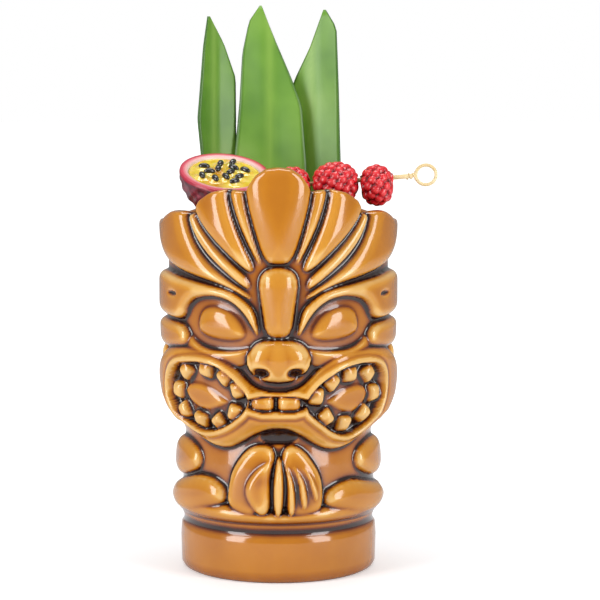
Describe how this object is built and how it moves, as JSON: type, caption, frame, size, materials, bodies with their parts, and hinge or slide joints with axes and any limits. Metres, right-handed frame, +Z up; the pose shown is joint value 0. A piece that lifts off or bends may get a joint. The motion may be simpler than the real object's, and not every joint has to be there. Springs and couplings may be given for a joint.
{
  "type": "tiki mug",
  "caption": "Glazed ceramic tiki mug with a carved, snarling face under a feather headdress, dressed with pineapple leaves and a bamboo pick of passion fruit and raspberries.",
  "frame": {"origin": "on the mug's axis, at the plane of its foot ring", "axes": "+Z up the mug's axis, -Y the way the face looks, +X to the right of someone who looks at the face"},
  "size_m": [0.1119, 0.0968, 0.2252],
  "materials": {
    "glaze": "gloss honey-brown glaze that pools dark in the carving",
    "leaf": "satin green leaf",
    "bamboo": "plain dry bamboo",
    "rind": "satin maroon skin over white pith",
    "pulp": "wet yellow pulp",
    "seed": "wet black seeds",
    "raspberry": "soft-gloss red berry"
  },
  "bodies": {
    "mug": {"mug_body": "glaze"},
    "leaf_left": {"pineapple_leaf_left": "leaf"},
    "leaf_centre": {"pineapple_leaf_centre": "leaf"},
    "leaf_right": {"pineapple_leaf_right": "leaf"},
    "passion_fruit": {"passion_fruit_rind": "rind", "passion_fruit_pulp": "pulp", "passion_fruit_seeds": "seed"},
    "pick": {"cocktail_pick": "bamboo"},
    "berry_inner": {"raspberry_inner": "raspberry"},
    "berry_middle": {"raspberry_middle": "raspberry"},
    "berry_outer": {"raspberry_outer": "raspberry"}
  },
  "joints": [
    {"name": "leaf_left_lift", "type": "slide", "parent": "mug", "child": "leaf_left", "axis": [0, 0.1305, 0.9914], "range_m": [0, 0.2]},
    {"name": "leaf_centre_lift", "type": "slide", "parent": "mug", "child": "leaf_centre", "axis": [0, 0.1305, 0.9914], "range_m": [0, 0.2]},
    {"name": "leaf_right_lift", "type": "slide", "parent": "mug", "child": "leaf_right", "axis": [0, 0.1305, 0.9914], "range_m": [0, 0.2]},
    {"name": "garnish_lift", "type": "slide", "parent": "mug", "child": "passion_fruit", "axis": [0, 0, 1], "range_m": [0, 0.08]},
    {"name": "pick_pull", "type": "slide", "parent": "passion_fruit", "child": "pick", "axis": [0.9969, 0, 0.0785], "range_m": [0, 0.085]},
    {"name": "berry_inner_spin", "type": "hinge", "parent": "pick", "child": "berry_inner", "pos_m": [0, -0.007, 0.1544], "axis": [0.9969, 0, 0.0785], "continuous": true},
    {"name": "berry_middle_spin", "type": "hinge", "parent": "pick", "child": "berry_middle", "pos_m": [0, -0.007, 0.1544], "axis": [0.9969, 0, 0.0785], "continuous": true},
    {"name": "berry_outer_spin", "type": "hinge", "parent": "pick", "child": "berry_outer", "pos_m": [0, -0.007, 0.1544], "axis": [0.9969, 0, 0.0785], "continuous": true}
  ]
}
